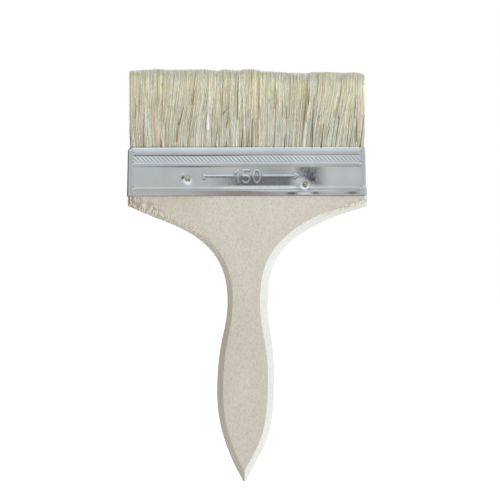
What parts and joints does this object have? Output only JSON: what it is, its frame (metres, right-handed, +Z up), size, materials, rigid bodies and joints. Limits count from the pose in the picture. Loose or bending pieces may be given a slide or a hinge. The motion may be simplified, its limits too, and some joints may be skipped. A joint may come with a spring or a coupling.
{
  "type": "pastry brush",
  "caption": "Wide flat pastry brush: wooden paddle handle with chamfered edges, beaded tinplate ferrule nailed to its head, and a dense natural bristle head that bends at the mouth.",
  "frame": {"origin": "tip of the handle, in the middle of the brush's width and thickness", "axes": "+Z up the brush from the handle tip to the bristle tips, X across the width, +Y through the thickness towards the back; the front, with the size mark, faces -Y"},
  "size_m": [0.153, 0.0149, 0.263],
  "materials": {
    "handle_wood": "bare sanded hardwood, straight grain along the handle, furry cut edges on the shoulders",
    "tinplate": "thin rolled tinplate, satin, with pressed beads",
    "nail_steel": "small domed steel nail",
    "resin": "cast epoxy",
    "spacer_wood": "rough sawn strip",
    "bristle": "cream natural bristle with tan, grey and a few dark hairs"
  },
  "bodies": {
    "brush_body": {"handle": "handle_wood", "ferrule": "tinplate", "nail_front_left": "nail_steel", "nail_front_right": "nail_steel", "nail_back_left": "nail_steel", "nail_back_right": "nail_steel", "resin_set": "resin", "spacer_strip": "spacer_wood", "bristle_roots_front": "bristle", "bristle_roots_back": "bristle"},
    "bristle_head": {"bristles_front": "bristle", "bristles_back": "bristle"}
  },
  "joints": [
    {"name": "bristle_flex", "type": "hinge", "parent": "brush_body", "child": "bristle_head", "pos_m": [0, 0, 0.213], "axis": [1, 0, 0], "range_deg": [-25, 25], "stiffness_Nm_per_rad": 0.8}
  ]
}
